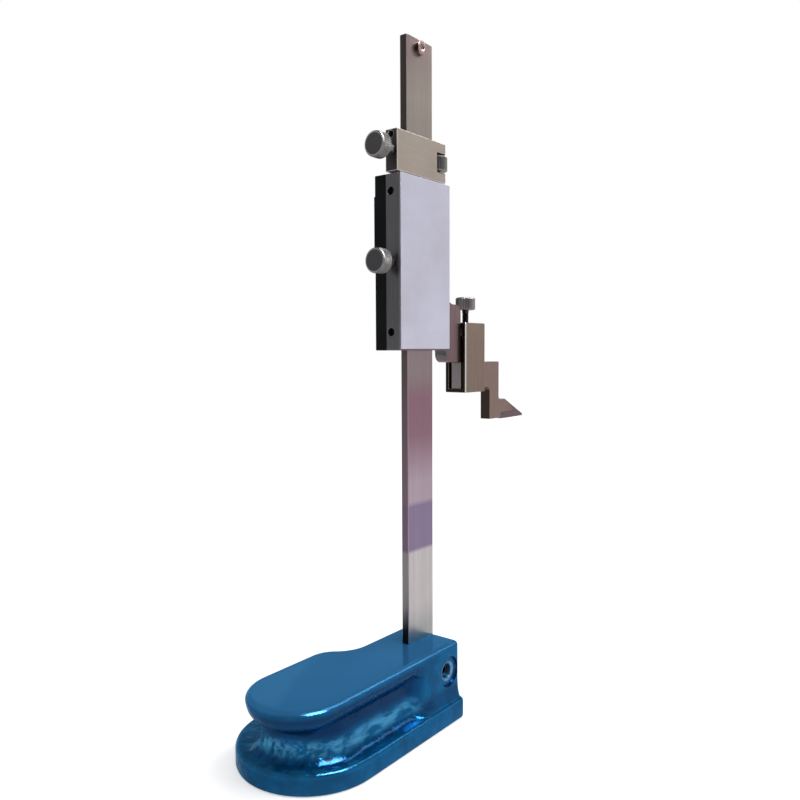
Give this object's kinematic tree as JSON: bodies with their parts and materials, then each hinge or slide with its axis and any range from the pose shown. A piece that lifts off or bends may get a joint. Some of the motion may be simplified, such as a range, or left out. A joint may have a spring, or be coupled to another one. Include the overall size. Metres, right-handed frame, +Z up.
{
  "type": "digital height gauge",
  "caption": "Digital height gauge with a cast base and hand grip, an upright beam, a locking display slider with fine adjustment, and a clamped cranked scriber.",
  "frame": {"origin": "on the ground underside of the base, on the axis of the beam", "axes": "+Z up along the beam, +X towards the scriber's tip, +Y towards the display side"},
  "size_m": [0.1693, 0.0566, 0.2749],
  "materials": {
    "base_enamel": "gloss enamel on cast iron",
    "dark_screw": "blackened",
    "beam_steel": "ground stainless",
    "scale_board": "glass fibre board",
    "scale_film": "printed film",
    "screw_steel": "turned and knurled stainless",
    "slider_steel": "ground stainless",
    "cover_plate": "satin",
    "gib_brass": "milled",
    "housing_black": "fine texture",
    "window_clear": "polished",
    "lcd_grey": "display panel",
    "circuit_board": "lacquered",
    "cell_metal": "nickel",
    "contact_metal": "sprung strip",
    "lid_black": "fine texture",
    "button_red": "moulded",
    "button_yellow": "moulded",
    "button_grey": "moulded",
    "carriage_steel": "satin stainless",
    "clamp_steel": "satin",
    "scriber_steel": "ground",
    "carbide": "ground carbide"
  },
  "bodies": {
    "base": {"base_casting": "base_enamel", "base_set_screw": "dark_screw", "beam": "beam_steel", "scale_board": "scale_board", "scale_film": "scale_film", "beam_stop_screw": "screw_steel"},
    "slider": {"slider_frame": "slider_steel", "back_cover": "cover_plate", "slider_gib": "gib_brass", "gib_set_screws": "dark_screw", "display_housing": "housing_black", "lcd_window": "window_clear", "lcd_panel": "lcd_grey", "reader_board": "circuit_board", "button_cell": "cell_metal", "battery_contacts": "contact_metal", "display_screws": "screw_steel", "fine_adjust_stud": "screw_steel"},
    "lock_shoe": {"lock_shoe": "gib_brass"},
    "lock_thumb_screw": {"lock_thumb_screw": "screw_steel"},
    "battery_cover": {"battery_cover": "lid_black"},
    "power_button": {"power_button": "button_red"},
    "zero_button": {"zero_button": "button_yellow"},
    "unit_button": {"unit_button": "button_grey"},
    "carriage": {"carriage_block": "carriage_steel", "carriage_gib": "gib_brass", "carriage_gib_screw": "dark_screw"},
    "fine_adjust_nut": {"fine_adjust_nut": "screw_steel"},
    "clamp_shoe": {"clamp_shoe": "gib_brass"},
    "clamp_thumb_screw": {"clamp_thumb_screw": "screw_steel"},
    "scriber_clamp": {"scriber_clamp": "clamp_steel"},
    "clamp_pad": {"clamp_pad": "gib_brass"},
    "scriber_clamp_screw": {"scriber_clamp_screw": "screw_steel"},
    "scriber": {"scriber": "scriber_steel", "carbide_tip": "carbide"}
  },
  "joints": [
    {"name": "slider_slide", "type": "slide", "parent": "base", "child": "slider", "axis": [0, 0, 1], "range_m": [-0.1194, 0.0306]},
    {"name": "carriage_slide", "type": "slide", "parent": "slider", "child": "carriage", "axis": [0, 0, 1], "range_m": [-0.0007, 0.0009]},
    {"name": "fine_adjust_turn", "type": "hinge", "parent": "carriage", "child": "fine_adjust_nut", "pos_m": [0.0142, 0, 0.2288], "axis": [0, 0, 1], "range_deg": [-504, 648]},
    {"name": "lock_shoe_slide", "type": "slide", "parent": "slider", "child": "lock_shoe", "axis": [1, 0, 0], "range_m": [-0.0005, 0.00025]},
    {"name": "lock_turn", "type": "hinge", "parent": "lock_shoe", "child": "lock_thumb_screw", "pos_m": [-0.0242, 0, 0.1858], "axis": [1, 0, 0], "range_deg": [-360, 180]},
    {"name": "clamp_shoe_slide", "type": "slide", "parent": "carriage", "child": "clamp_shoe", "axis": [1, 0, 0], "range_m": [-0.0005, 0.00025]},
    {"name": "carriage_clamp_turn", "type": "hinge", "parent": "clamp_shoe", "child": "clamp_thumb_screw", "pos_m": [-0.0242, 0, 0.2293], "axis": [1, 0, 0], "range_deg": [-360, 180]},
    {"name": "scriber_clamp_slide", "type": "slide", "parent": "slider", "child": "scriber_clamp", "axis": [1, 0, 0], "range_m": [0, 0.006]},
    {"name": "clamp_pad_slide", "type": "slide", "parent": "scriber_clamp", "child": "clamp_pad", "axis": [0, 0, 1], "range_m": [0, 0.002]},
    {"name": "scriber_clamp_turn", "type": "hinge", "parent": "clamp_pad", "child": "scriber_clamp_screw", "pos_m": [0.0359, 0, 0.172], "axis": [0, 0, 1], "range_deg": [0, 1440]},
    {"name": "scriber_slide", "type": "slide", "parent": "scriber_clamp", "child": "scriber", "axis": [1, 0, 0], "range_m": [-0.006, 0.008]},
    {"name": "power_press", "type": "slide", "parent": "slider", "child": "power_button", "axis": [0, -1, 0], "range_m": [0, 0.0005], "stiffness_N_per_m": 1600},
    {"name": "zero_press", "type": "slide", "parent": "slider", "child": "zero_button", "axis": [0, -1, 0], "range_m": [0, 0.0005], "stiffness_N_per_m": 1600},
    {"name": "unit_press", "type": "slide", "parent": "slider", "child": "unit_button", "axis": [0, -1, 0], "range_m": [0, 0.0005], "stiffness_N_per_m": 1600},
    {"name": "battery_cover_slide", "type": "slide", "parent": "slider", "child": "battery_cover", "axis": [1, 0, 0], "range_m": [0, 0.02]}
  ],
  "couplings": [
    {"joint": "fine_adjust_turn", "follows": "carriage_slide", "rad_per_m": 12566},
    {"joint": "lock_turn", "follows": "lock_shoe_slide", "rad_per_m": 12566},
    {"joint": "carriage_clamp_turn", "follows": "clamp_shoe_slide", "rad_per_m": 12566},
    {"joint": "scriber_clamp_turn", "follows": "clamp_pad_slide", "rad_per_m": 12566}
  ]
}
